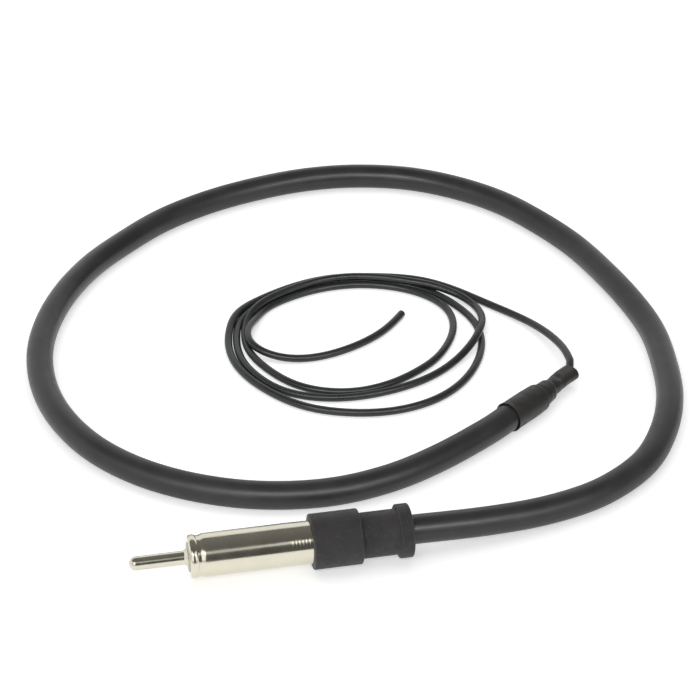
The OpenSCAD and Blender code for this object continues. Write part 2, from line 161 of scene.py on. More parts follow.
def noise(tree, vector, size, detail=3.0, **more):
    """Noise whose patches are about that size."""
    inputs = {"Vector": vector, "Scale": 1 / size, "Detail": detail, **more}
    return add(tree, "ShaderNodeTexNoise", inputs).outputs[0]


def mapped(tree, value, low, high, new_low, new_high):
    """A value between low and high, moved to between the new ones."""
    inputs = {0: value, 1: low, 2: high, 3: new_low, 4: new_high}
    return add(tree, "ShaderNodeMapRange", inputs).outputs[0]


def patches(tree, vector, size, low, high, detail=3.0):
    """Noise with patches of about that size, as a value between low and high."""
    return mapped(tree, noise(tree, vector, size, detail), 0.3, 0.7, low, high)


def worked_out(tree, way, *values):
    return add(tree, "ShaderNodeMath", dict(enumerate(values)), operation=way).outputs[0]


def tinted(tree, dark, light, share):
    """A colour between two, by a share from 0 to 1. The dark one may be another node's output."""
    first = dark if isinstance(dark, bpy.types.NodeSocket) else rgba(dark)
    mix = add(tree, "ShaderNodeMix", {0: share, 6: first, 7: rgba(light)}, data_type="RGBA")
    return mix.outputs[2]


def raised(tree, height, depth, onto=None):
    """A bump of that depth in metres, laid on another one if given."""
    inputs = {"Height": height, "Distance": depth, "Strength": 1.0}
    if onto is not None:
        inputs["Normal"] = onto
    return add(tree, "ShaderNodeBump", inputs).outputs[0]


# --- Materials ---

def nickel_plate(name, colour, axis_pitch, rough):
    """Bright nickel on drawn or turned brass: a warm mirror with fine rings from the tool."""
    material, tree = new_material(name, Metallic=1.0)
    place = object_space(tree)
    along = add(tree, "ShaderNodeSeparateXYZ", {0: place}).outputs[0]
    # The tool's rings are a few hundredths of a millimetre apart, drawn a little coarser to show
    rings = add(tree, "ShaderNodeTexNoise", {"W": along, "Scale": 1 / axis_pitch, "Detail": 2.0},
                noise_dimensions="1D").outputs[0]
    smear = patches(tree, place, 6 * MM, 0.0, 1.0)
    return fed(material, {
        "Base Color": tinted(tree, shade(colour, 0.93), colour, smear),
        "Roughness": mapped(tree, smear, 0.0, 1.0, rough * 0.8, rough * 1.35),
        "Normal": raised(tree, rings, 0.0012 * MM),
    })


def moulded_pvc(name, colour):
    """Matt moulded PVC: fine spark-eroded grain, paler rubbed edges and pale specks, part scuffs
    and part painted glints.
    """
    material, tree = new_material(name)
    place = object_space(tree)
    grain = noise(tree, place, 0.22 * MM, 4.0)
    cloud = patches(tree, place, 3.5 * MM, 0.0, 1.0)
    # Pale specks, about a quarter of a millimetre across: partly rubbed scuffs, partly painted
    # glints off the grain
    scuff_and_glint_specks = noise(tree, place, 0.5 * MM, 5.0, Roughness=0.7)
    scuff_and_glint_share = mapped(tree, scuff_and_glint_specks, 0.56, 0.7, 0.0, 0.8)
    rubbed = add(tree, "ShaderNodeAttribute", attribute_name="rubbed").outputs["Fac"]
    worn_and_glinting = worked_out(tree, "MAXIMUM", worked_out(tree, "MULTIPLY", rubbed, scuff_and_glint_specks), scuff_and_glint_share)
    base = tinted(tree, shade(colour, 0.72), shade(colour, 1.2), cloud)
    return fed(material, {
        # The rubbed edges and the specks go pale: wear, plus painted glints where the specks stand
        # for light off the grain
        "Base Color": tinted(tree, base, shade(colour, 4.0), worn_and_glinting),
        "Roughness": patches(tree, place, 1.5 * MM, 0.5, 0.66),
        "Normal": raised(tree, grain, 0.02 * MM),
    })


def extruded_pvc(name, colour, diameter, rough):
    """Extruded PVC: satin, with long faint draw lines, a slight ripple and handling marks."""
    material, tree = new_material(name)
    place = add(tree, "ShaderNodeAttribute", attribute_name="cord_space").outputs["Vector"]
    # Draw lines are long and narrow: the pattern is squeezed along the cord
    streaks = noise(tree, stretched(tree, place, (0.03, 1.0, 1.0)), diameter / 9)
    ripple = noise(tree, place, diameter / 0.6, 2.0)
    grain = noise(tree, place, 0.3 * MM)
    cloud = patches(tree, place, diameter / 1.2, 0.0, 1.0)
    # The sheen comes and goes every ten or so diameters, where the jacket was bent and handled
    bends = stretched(tree, place, (1.0, 0.2, 0.2))
    handled = patches(tree, bends, diameter / 0.12, rough * 0.8, rough * 1.35, detail=1.0)
    fine = patches(tree, place, diameter / 3, 0.93, 1.1)
    bump = raised(tree, ripple, 0.02 * diameter)
    bump = raised(tree, streaks, 0.0025 * diameter, bump)
    return fed(material, {
        "Base Color": tinted(tree, shade(colour, 0.8), shade(colour, 1.2), cloud),
        "Roughness": worked_out(tree, "MULTIPLY", handled, fine),
        "Normal": raised(tree, grain, 0.004 * MM, bump),
    })


def shrunk_polyolefin(name, colour):
    """Heat-shrunk polyolefin: dull, slightly uneven where it drew in, with a fine orange peel."""
    material, tree = new_material(name)
    place = object_space(tree)
    peel = noise(tree, place, 0.35 * MM)
    sag = noise(tree, place, 2.2 * MM, 2.0)
    cloud = patches(tree, place, 2 * MM, 0.0, 1.0)
    return fed(material, {
        "Base Color": tinted(tree, shade(colour, 0.8), shade(colour, 1.25), cloud),
        "Roughness": patches(tree, place, 1.2 * MM, 0.4, 0.58),
        "Normal": raised(tree, peel, 0.012 * MM, raised(tree, sag, 0.15 * MM)),
    })


def moulded_nylon(name, colour):
    """Natural moulded nylon: creamy, satin, a little light passes into it."""
    shader = {"Subsurface Weight": 0.2, "Subsurface Scale": 1 * MM}
    material, tree = new_material(name, **shader)
    place = object_space(tree)
    cloud = patches(tree, place, 1.5 * MM, 0.0, 1.0)
    return fed(material, {
        "Base Color": tinted(tree, shade(colour, 0.88), colour, cloud),
        "Roughness": patches(tree, place, 0.8 * MM, 0.38, 0.5),
    })


def drawn_metal(name, colour, rough):
    """Bare drawn wire or tube: fine lines along its length and a little tarnish."""
    material, tree = new_material(name, Metallic=1.0)
    place = object_space(tree)
    drawn = noise(tree, stretched(tree, place, (0.05, 1.0, 1.0)), 0.06 * MM, 2.0)
    cloud = patches(tree, place, 1.2 * MM, 0.0, 1.0)
    return fed(material, {
        "Base Color": tinted(tree, shade(colour, 0.75), colour, cloud),
        "Roughness": patches(tree, place, 0.9 * MM, rough * 0.8, rough * 1.3),
        "Normal": raised(tree, drawn, 0.003 * MM),
    })


def woven_braid(name, colour):
    """Tinned copper braid: strands cross every 0.8 mm, with a painted highlight on their tops and
    painted shade between them.
    """
    material, tree = new_material(name, Metallic=1.0, Roughness=0.35)
    weave = {"Vector": object_space(tree), "Scale": 1 / (1.6 * MM)}
    strands = [add(tree, "ShaderNodeTexWave", weave, bands_direction=way).outputs["Fac"]
               for way in ("X", "DIAGONAL")]
    weave_height_and_shade = worked_out(tree, "MULTIPLY", *strands)
    return fed(material, {
        # The weave's height also sets the colour: a painted highlight on the strands' tops and
        # painted shade in the gaps between them
        "Base Color": tinted(tree, shade(colour, 0.4), colour, weave_height_and_shade),
        "Normal": raised(tree, weave_height_and_shade, 0.1 * MM),
    })


def foamed_polyethylene(name, colour):
    """Foamed polyethylene insulation: white and waxy, with closed cells that dimple its skin and
    painted shade in the dimples.
    """
    material, tree = new_material(name)
    place = object_space(tree)
    cells = add(tree, "ShaderNodeTexVoronoi", {"Vector": place, "Scale": 1 / (0.25 * MM)})
    depth = cells.outputs["Distance"]
    return fed(material, {
        # The dimples' depth also darkens the colour: painted shade in the cells' hollows
        "Base Color": tinted(tree, shade(colour, 0.85), colour, depth),
        "Roughness": patches(tree, place, 0.7 * MM, 0.45, 0.6),
        "Normal": raised(tree, depth, 0.03 * MM),
    })


def satin_solder(name, colour):
    """Cooled solder: satin silver with soft flow ripples."""
    material, tree = new_material(name, Metallic=1.0)
    place = object_space(tree)
    flow = noise(tree, place, 0.8 * MM, 2.0, Distortion=1.0)
    return fed(material, {
        "Base Color": tinted(tree, shade(colour, 0.8), colour, flow),
        "Roughness": patches(tree, place, 0.5 * MM, 0.25, 0.42),
        "Normal": raised(tree, flow, 0.05 * MM),
    })


# --- Mesh helpers ---

def rounded(profile, steps=6):
    """Points of a profile whose corners are rounded: each corner is x, r and its radius."""
    points = [Vector(p[:2]) for p in profile]
    made = []
    for i, (here, corner) in enumerate(zip(points, profile)):
        reach = corner[2] if len(corner) > 2 else 0
        if not reach or i in (0, len(points) - 1):
            made.append(here)
            continue
        # A corner takes a little less than half of the edge on each side
        to_before, to_after = points[i - 1] - here, points[i + 1] - here
        first = here + to_before.normalized() * min(reach, to_before.length * 0.48)
        last = here + to_after.normalized() * min(reach, to_after.length * 0.48)
        for k in range(steps + 1):
            t = k / steps
            made.append(first * (1 - t) ** 2 + here * 2 * t * (1 - t) + last * t * t)
    return made


def linked(name, data):
    """An object in the scene, of that name and data."""
    thing = bpy.data.objects.new(name, data)
    bpy.context.collection.objects.link(thing)
    return thing


def finished(name, verts, faces, material, sharp=35):
    """A mesh object with its normals outwards, smooth but for its sharp edges."""
    mesh = bpy.data.meshes.new(name)
    mesh.from_pydata([tuple(v) for v in verts], [], faces)
    work = bmesh.new()
    work.from_mesh(mesh)
    bmesh.ops.remove_doubles(work, verts=work.verts, dist=1e-7)
    bmesh.ops.recalc_face_normals(work, faces=work.faces)
    work.to_mesh(mesh)
    work.free()
    mesh.shade_smooth()
    mesh.set_sharp_from_angle(angle=math.radians(sharp))
    mesh.materials.append(material)
    return linked(name, mesh)


def turned(name, profile, material, place, closed=True, segments=128):
    """Turns a profile of distance and radius about an axis.

    place maps the distances along it, sideways and up to a point."""
    verts, rings = [], []
    for along, radius in profile:
        if radius < 1e-7:
            rings.append([len(verts)] * segments)
            verts.append(place(along, 0, 0))
            continue
        rings.append(list(range(len(verts), len(verts) + segments)))
        for k in range(segments):
            turn = 2 * math.pi * k / segments
            verts.append(place(along, radius * math.cos(turn), radius * math.sin(turn)))
    faces = []
    pairs = list(zip(rings, rings[1:])) + ([(rings[-1], rings[0])] if closed else [])
    for one, two in pairs:
        for k in range(segments):
            m = (k + 1) % segments
            face = list(dict.fromkeys((one[k], two[k], two[m], one[m])))
            if len(face) > 2:
                faces.append(face)
    return finished(name, verts, faces, material)


def rub_edges(piece, stations, reach):
    """Marks the vertices near those distances along the plug as rubbed."""
    mesh = piece.data
    rubbed = mesh.attributes.new("rubbed", "FLOAT", "POINT")
    for vertex, value in zip(mesh.vertices, rubbed.data):
        near = min(abs(vertex.co.x - s) for s in stations)
        value.value = max(0.0, 1.0 - near / reach)


def resampled(points, step):
    """Points of an even spacing along a smooth curve through the given ones."""
    points = np.asarray(points, float)
    ends = np.vstack([2 * points[0] - points[1], points, 2 * points[-1] - points[-2]])
    fine = []
    for a, b, c, d in zip(ends, ends[1:], ends[2:], ends[3:]):
        for t in np.linspace(0, 1, 24, endpoint=False):
            fine.append(0.5 * (2 * b + (c - a) * t + (2 * a - 5 * b + 4 * c - d) * t ** 2
                               + (3 * b - a - 3 * c + d) * t ** 3))
    fine = np.array(fine + [points[-1]])
    run = np.concatenate([[0], np.cumsum(np.linalg.norm(np.diff(fine, axis=0), axis=1))])
    even = np.linspace(0, run[-1], max(2, int(round(run[-1] / step)) + 1))
    return np.column_stack([np.interp(even, run, fine[:, k]) for k in range(3)])


def faired(points, passes, held=6):
    """Takes small wobbles out of a line without shrinking its bends. Its ends stay."""
    line = points.copy()
    for k in range(2 * passes):
        weight = 0.5 if k % 2 == 0 else -0.52
        middle = (line[:-2] + line[2:]) / 2 - line[1:-1]
        middle[:held] = 0
        middle[-held:] = 0
        line[1:-1] += weight * middle
    return line


def settled(points, diameter, step, passes, held):
    """Lets a coiled wire's turns push each other apart to one diameter, on the table.

    The first held points stay."""
    line = points.copy()
    index = np.arange(len(line))
    # Points less than four diameters apart on the wire are neighbours, not turns
    apart = np.abs(index[:, None] - index[None, :]) * step > 4 * diameter
    for _ in range(passes):
        gap = line[:, None, :] - line[None, :, :]
        size = np.linalg.norm(gap, axis=2)
        press = np.where(apart & (size < diameter), (diameter - size) / np.maximum(size, 1e-6), 0)
        count = np.maximum((press > 0).sum(axis=1), 1)
        push = 0.6 * (press[:, :, None] * gap).sum(axis=1) / count[:, None]
        push[:held] = 0
        # Neighbours along the wire share a push, as the wire is stiff over a few diameters
        for _ in range(3):
            push[1:-1] = 0.5 * push[1:-1] + 0.25 * (push[:-2] + push[2:])
        line += push
        middle = (line[:-2] + line[2:]) / 2 - line[1:-1]
        middle[:held] = 0
        line[1:-1] += 0.15 * middle
        line[held:, 2] = np.maximum(line[held:, 2], diameter / 2)
    return line


def captured(tree, geometry, name, value):
    """The outputs of a node that keeps a value on each point of that geometry."""
    node = tree.nodes.new("GeometryNodeCaptureAttribute")
    node.capture_items.new("FLOAT", name)
    tree.links.new(geometry, node.inputs["Geometry"])
    tree.links.new(value, node.inputs[name])
    return node.outputs


def cord_tree():
    """The node tree that sweeps a round cord along a line and keeps each point's place on it."""
    tree = bpy.data.node_groups.new("Cord along a line", "GeometryNodeTree")
    face = tree.interface
    face.new_socket("Line", in_out="INPUT", socket_type="NodeSocketGeometry")
    for label, kind in (("Diameter", "Float"), ("Sides", "Int"), ("Material", "Material")):
        face.new_socket(label, in_out="INPUT", socket_type="NodeSocket" + kind)
    face.new_socket("Cord", in_out="OUTPUT", socket_type="NodeSocketGeometry")
    given = add(tree, "NodeGroupInput").outputs
    radius = worked_out(tree, "MULTIPLY", given["Diameter"], 0.5)
    circle = add(tree, "GeometryNodeCurvePrimitiveCircle", {
        "Resolution": given["Sides"], "Radius": radius,
    })
    where = add(tree, "GeometryNodeSplineParameter").outputs
    along = captured(tree, given["Line"], "Run", where["Length"])
    around = captured(tree, circle.outputs["Curve"], "Turn", where["Factor"])
    swept = add(tree, "GeometryNodeCurveToMesh", {
        "Curve": along["Geometry"], "Profile Curve": around["Geometry"], "Fill Caps": True,
    })
    angle = worked_out(tree, "MULTIPLY", around["Turn"], 2 * math.pi)
    side, up = (worked_out(tree, "MULTIPLY", worked_out(tree, way, angle), radius)
                for way in ("COSINE", "SINE"))
    spot = add(tree, "ShaderNodeCombineXYZ", {0: along["Run"], 1: side, 2: up})
    stored = add(tree, "GeometryNodeStoreNamedAttribute", {
        "Geometry": swept.outputs[0], "Name": "cord_space", "Value": spot.outputs[0],
    }, data_type="FLOAT_VECTOR")
    real = add(tree, "GeometryNodeRealizeInstances", {0: stored.outputs[0]})
    painted = add(tree, "GeometryNodeSetMaterial", {
        "Geometry": real.outputs[0], "Material": given["Material"],
    })
    add(tree, "NodeGroupOutput", {"Cord": painted.outputs[0]})
    return tree


def swept_cord(name, points, diameter, sides, material, sharp=50):
    """A cord swept along points by the node tree, as a plain mesh object."""
    tree = bpy.data.node_groups.get("Cord along a line") or cord_tree()
    curve = bpy.data.curves.new(name + "_line", "CURVE")
    curve.dimensions = "3D"
    spline = curve.splines.new("POLY")
    spline.points.add(len(points) - 1)
    for point, spot in zip(spline.points, points):
        point.co = (*spot, 1.0)
    carrier = linked(name + "_line", curve)
    modifier = carrier.modifiers.new("Cord", "NODES")
    modifier.node_group = tree
    values = {"Diameter": diameter, "Sides": sides, "Material": material}
    for item in tree.interface.items_tree:
        if item.in_out == "INPUT" and item.name in values:
            modifier[item.identifier] = values[item.name]
    graph = bpy.context.evaluated_depsgraph_get()
    mesh = bpy.data.meshes.new_from_object(carrier.evaluated_get(graph), depsgraph=graph)
    carrier.modifiers.remove(modifier)
    bpy.data.objects.remove(carrier)
    mesh.name = name
    mesh.shade_smooth()
    mesh.set_sharp_from_angle(angle=math.radians(sharp))
    if not mesh.materials:
        mesh.materials.append(material)
    mesh.materials[0] = material
    return linked(name, mesh)


def on_body(piece, *nodes, slot):
    """The piece stands for those CAD nodes, which are hidden, and goes with the one body. The slot
    is not used.
    """
    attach(piece, "root")
    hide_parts(*nodes)


# --- Settings ---

def length(name, description, millimetres):
    return bpy.props.FloatProperty(name=name, description=description, default=millimetres * MM,
                                   min=0.001 * MM, unit="LENGTH", precision=5)


def colour(name, description, code):
    return bpy.props.FloatVectorProperty(name=name, description=description, default=linear(code),
                                         size=3, min=0.0, max=1.0, subtype="COLOR")


def power(name, description, watts):
    return bpy.props.FloatProperty(name=name, description=description, default=watts, min=0.0)


class AerialPlug(bpy.types.PropertyGroup):
    pin_d: length("Pin diameter", "Diameter of the centre pin", 2.9)
    pin_show: length("Pin length", "Length of the pin in front of the nose", 12.1)
    root_d: length("Pin root diameter", "Diameter of the cone at the pin's root", 4.2)
    root_len: length("Pin root length", "Length of the cone at the pin's root", 0.7)
    stop_d: length("Pin stop diameter", "Diameter of the stop behind the insulator", 4.6)
    stop_len: length("Pin stop length", "Length of the stop behind the insulator", 0.8)
    cup_len: length("Solder cup", "Length of the solder cup behind the stop", 6.5)
    bore_d: length("Cup bore", "Bore of the solder cup", 1.6)
    bore_len: length("Cup bore depth", "Depth of the bore in the solder cup", 5)
    barrel_d: length("Barrel diameter", "Outer diameter of the barrel", 9)
    barrel_show: length("Barrel length", "Length of barrel between its nose and the collar", 25.1)
    seat_len: length("Seat length", "Length of barrel that sits in the collar", 6)
    tail_d: length("Tail diameter", "Diameter of the barrel's drawn-in tail", 8.86)
    tail_len: length("Tail taper", "Length of the slight taper before the collar", 4.85)
    wall: length("Barrel wall", "Thickness of the barrel's sheet metal", 0.45)
    rim_w: length("Rim width", "Width of the rounded rim at the nose", 1.8)
    rim_h: length("Rim bulge", "Height that the rounded rim bulges by", 0.55)
    mouth_d: length("Mouth diameter", "Opening in the rolled nose", 6.2)
    groove_w: length("Groove width", "Width of the rolled groove behind the rim", 0.5)
    groove_depth: length("Groove depth", "Depth of the rolled groove", 0.3)
    shoulder_len: length("Shoulder length", "Length of the rounded shoulder behind the groove", 1.2)
    ring_pitch: length("Ring pitch", "Spacing of the fine turned rings by the collar", 0.7)
    ring_w: length("Ring width", "Width of one fine ring", 0.3)
    ring_depth: length("Ring depth", "Depth of one fine ring", 0.016)
    ring_count: bpy.props.IntProperty(name="Rings", default=6, min=0, max=12,
                                      description="Number of fine turned rings by the collar")
    nylon_len: length("Insulator length", "Length of the insulator in the nose", 8)
    nylon_proud: length("Insulator proud", "How far the insulator stands out of the nose", 0.2)
    collar_d: length("Collar diameter", "Outer diameter of the collar", 11.5)
    collar_len: length("Collar length", "Length of the collar", 10.1)
    web: length("Collar web", "Thickness of the web between the collar's two bores", 1)
    spigot_d: length("Spigot diameter", "Diameter of the bushing's spigot in the collar", 8.4)
    bushing_d: length("Bushing diameter", "Diameter of the bushing behind the collar", 9.5)
    bushing_show: length("Bushing length", "Length of bushing between collar and flange", 7.8)
    flange_d: length("Flange diameter", "Diameter of the flange", 11.2)
    flange_w: length("Flange thickness", "Thickness of the flange", 2.8)
    metal: colour("Nickel", "Colour of the plated barrel and pin", "dcd8c6")
    plastic: colour("Boot", "Colour of the collar and bushing", "2c2a2b")
    insulator: colour("Insulator", "Colour of the insulator in the nose", "efe9da")


class AerialCords(bpy.types.PropertyGroup):
    cable_d: length("Cable diameter", "Outer diameter of the coaxial cable's jacket", 6.15)
    wire_d: length("Wire diameter", "Outer diameter of the thin wire", 1.8)
    jacket: colour("Cable jacket", "Colour of the coaxial cable", "222123")
    wire: colour("Wire", "Colour of the thin wire's insulation", "1f2121")


class AerialSplice(bpy.types.PropertyGroup):
    sleeve_d: length("Outer sleeve", "Outer diameter of the outer shrink sleeve", 6.8)
    sleeve_len: length("Outer sleeve length", "Length of the outer shrink sleeve", 11)
    front_d: length("Front end", "Diameter of the outer sleeve's front end", 6.6)
    inner_d: length("Inner sleeve", "Diameter of the inner shrink sleeve at its root", 5.1)
    neck_d: length("Neck", "Diameter of the inner sleeve's neck", 4)
    inner_show: length("Inner sleeve length", "Length of the inner sleeve past the outer one", 12.9)
    flare: length("Mouth flare", "How far the outer sleeve's mouth flares out", 0.12)
    lip_len: length("Lip", "Length of the outer sleeve's lip on the inner one", 1.2)
    taper_len: length("Taper", "Length of the taper to the outer sleeve's front", 1.8)
    shoulder_len: length("Shoulder", "Length of full round at the inner sleeve's root", 3.2)
    cone_len: length("Neck cone", "Length of the cone from there to the neck", 1.4)
    neck_len: length("Neck length", "Length of the neck", 1)
    flatten_len: length("Flattening", "Length over which the sleeve goes flat", 4)
    bead: length("Bead", "How much wider the bead at the inner sleeve's root is", 0.25)
    pinch_w: length("Mouth width", "Width of the inner sleeve's flattened end", 4.4)
    pinch_h: length("Mouth height", "Height of the inner sleeve's flattened end", 3)
    lean: length("Mouth lean", "How far the flattened end leans to the wire's side", 1)
    wall: length("Sleeve wall", "Wall thickness of the shrink sleeves", 0.35)
    dent: length("Dent", "Depth of the pinch mark in the flattened end", 0.45)
    tube: colour("Shrink sleeve", "Colour of both shrink sleeves", "302f2d")


class AerialStage(bpy.types.PropertyGroup):
    floor: colour("Floor", "Colour of the floor and backdrop", "e9e9e9")
    key: power("Key light", "Power of the overhead lamp in watts", 3.2)
    fill: power("Fill light", "Power of the lamp behind the camera in watts", 1.6)
    strip: power("Strip light", "Power of the slim lamp in front in watts", 0.5)
    boxes: power("Side boxes", "Power of each soft box at the sides in watts", 1.8)
    sheen: power("Sheen light", "Power of the lamp on the cable and the wire in watts", 7.0)


# Clearances between pieces that are pressed together and that slip together
FIT = 0.03 * MM
SLIP = 0.1 * MM

# Where the outer sleeve's mouth lies and points, how far the jacket goes into it, and where in the
# splice the wire's insulation starts
SPLICE_PLACE = Vector((60, 38.5, 3.4)) * MM
SPLICE_ANGLE = math.radians(36)
SLEEVE_SEAT = 7.5 * MM
WIRE_START = 17.7 * MM

# How far behind the collar's front the jacket ends, and the height of the plug's axis
JACKET_END = 1.97 * MM
PLUG_Z = (PLUG_BOX[1][2] + PLUG_BOX[0][2]) / 2


def plug_place(along, side, up):
    return Vector((along, side, PLUG_Z + up))


def splice_place(along, side, up):
    c, s = math.cos(SPLICE_ANGLE), math.sin(SPLICE_ANGLE)
    return SPLICE_PLACE + Vector((along * c - side * s, along * s + side * c, up))


def plug_stations(p):
    """X of the pin's tip, nose, collar, bushing, flange and end. The plug's middle is at 0."""
    whole = p.pin_show + p.barrel_show + p.collar_len + p.bushing_show + p.flange_w
    tip = -whole / 2
    nose = tip + p.pin_show
    collar = nose + p.barrel_show
    bushing = collar + p.collar_len
    flange = bushing + p.bushing_show
    return tip, nose, collar, bushing, flange, flange + p.flange_w


# --- Operators ---

class AERIAL_OT_centre_pin(bpy.types.Operator):
    """Turns the centre pin with its round tip, root cone and solder cup"""

    bl_idname = "aerial.centre_pin"
    bl_label = "Centre Pin"

    def execute(self, context):
        p = context.scene.aerial_plug
        tip, nose = plug_stations(p)[:2]
        r = p.pin_d / 2
        root = nose - p.nylon_proud
        stop = nose + p.nylon_len + FIT
        cup = stop + p.stop_len
        end = cup + p.cup_len
        bore = end - p.bore_len
        profile = [(tip, 0)]
        for k in range(1, 13):
            turn = math.pi / 2 * k / 12
            profile.append((tip + r - r * math.cos(turn), r * math.sin(turn)))
        profile += rounded([
            (tip + r, r), (root - p.root_len, r, 0.12 * MM), (root, p.root_d / 2, 0.08 * MM),
            (root, r, 0), (stop, r), (stop, p.stop_d / 2), (cup, p.stop_d / 2), (cup, r),
            (end, r, 0.1 * MM), (end, p.bore_d / 2), (bore, p.bore_d / 2),
        ])[1:] + [(bore, 0)]
        metal = nickel_plate("Nickel plate, turned brass", p.metal, 0.09 * MM, 0.2)
        pin = turned("pin", profile, metal, plug_place, closed=False)
        on_body(pin, "centre_pin", slot="nickel_pin")
        return {"FINISHED"}


class AERIAL_OT_barrel(bpy.types.Operator):
    """Turns the drawn barrel with its rim, groove, shoulder and fine rings, and its insulator"""

    bl_idname = "aerial.barrel"
    bl_label = "Barrel and Insulator"

    def execute(self, context):
        p = context.scene.aerial_plug
        nose, collar = plug_stations(p)[1:3]
        r = p.barrel_d / 2
        groove = nose + p.rim_w
        shoulder = groove + p.groove_w
        body = shoulder + p.shoulder_len
        low = r - p.groove_depth
        outside = [(nose, p.mouth_d / 2)]
        # The rolled rim bulges: it is half an oval, cut short where it meets the groove
        for k in range(17):
            turn = math.radians(-90 + 152 * k / 16)
            outside.append((nose + p.rim_w / 2 * (1 + math.sin(turn)),
                            r - p.rim_h * (1 - math.cos(turn))))
        outside += [(groove, low, 0.05 * MM), (shoulder, low, 0.1 * MM)]
        for k in range(9):
            t = k / 8
            rise = p.groove_depth * math.sin(t * math.pi / 2) ** 0.8
            outside.append((shoulder + p.shoulder_len * t, low + rise))
        tail = p.tail_d / 2
        outside.append((collar - p.tail_len, r, 1 * MM))
        for i in range(p.ring_count, 0, -1):
            at = collar - p.ring_pitch * i
            high = tail + (r - tail) * p.ring_pitch * i / p.tail_len
            outside += [(at, high), (at + p.ring_w / 2, high - p.ring_depth), (at + p.ring_w, high)]
        end = collar + p.seat_len
        bore = r - p.wall
        neck = bore - p.groove_depth
        lip = nose + p.wall
        inside = [
            (collar, tail), (end, tail, 0.05 * MM), (end, bore, 0.05 * MM), (body, bore),
            (body, neck), (groove, neck), (groove, bore), (lip, bore), (lip, p.mouth_d / 2),
        ]
        plate = nickel_plate("Nickel plate, drawn brass", p.metal, 0.14 * MM, 0.16)
        barrel = turned("barrel_shell", rounded(outside + inside), plate, plug_place)
        on_body(barrel, "barrel", slot="nickel_barrel")

        hole = p.pin_d / 2 + FIT
        front = nose - p.nylon_proud + FIT
        back = nose + p.nylon_len
        mouth = p.mouth_d / 2 - FIT
        nylon = moulded_nylon("Natural nylon, moulded", p.insulator)
        core = [
            (front, hole, 0.05 * MM), (front, mouth, 0.12 * MM), (lip + FIT, mouth),
            (lip + FIT, bore - FIT), (groove - FIT, bore - FIT), (groove - FIT, neck - FIT),
            (body + FIT, neck - FIT), (body + FIT, bore - FIT), (back, bore - FIT, 0.1 * MM),
            (back, hole),
        ]
        insulator = turned("insulator", rounded(core), nylon, plug_place)
        on_body(insulator, "nose_insulator", slot="insulator_plastic")
        return {"FINISHED"}


class AERIAL_OT_boot(bpy.types.Operator):
    """Turns the collar behind the barrel and the flanged cable bushing"""

    bl_idname = "aerial.boot"
    bl_label = "Collar and Bushing"

    def execute(self, context):
        p = context.scene.aerial_plug
        cable = context.scene.aerial_cords.cable_d / 2 + SLIP
        collar, bushing, flange, end = plug_stations(p)[2:]
        r = p.collar_d / 2
        seat = p.tail_d / 2 + FIT
        spigot = p.spigot_d / 2
        web = collar + p.seat_len + FIT
        web_end = web + p.web
        pvc = moulded_pvc("PVC, moulded", p.plastic)
        shell = rounded([
            (collar, seat, 0.1 * MM), (collar, r, 0.35 * MM), (bushing, r, 0.35 * MM),
            (bushing, spigot + FIT, 0.1 * MM), (web_end, spigot + FIT), (web_end, cable),
            (web, cable), (web, seat),
        ])
        piece = turned("collar", shell, pvc, plug_place)
        rub_edges(piece, (collar, bushing), 0.5 * MM)
        on_body(piece, "boot_collar", slot="boot_plastic")

        r, rim = p.bushing_d / 2, p.flange_d / 2
        shell = rounded([
            (web_end + FIT, cable), (web_end + FIT, spigot), (bushing + FIT, spigot),
            (bushing + FIT, r, 0.2 * MM), (flange, r, 0.25 * MM), (flange, rim, 0.4 * MM),
            (end, rim, 0.4 * MM), (end, cable, 0.3 * MM),
        ])
        piece = turned("bushing", shell, pvc, plug_place)
        rub_edges(piece, (flange, end), 0.5 * MM)
        on_body(piece, "cable_bushing", slot="boot_plastic")
        return {"FINISHED"}


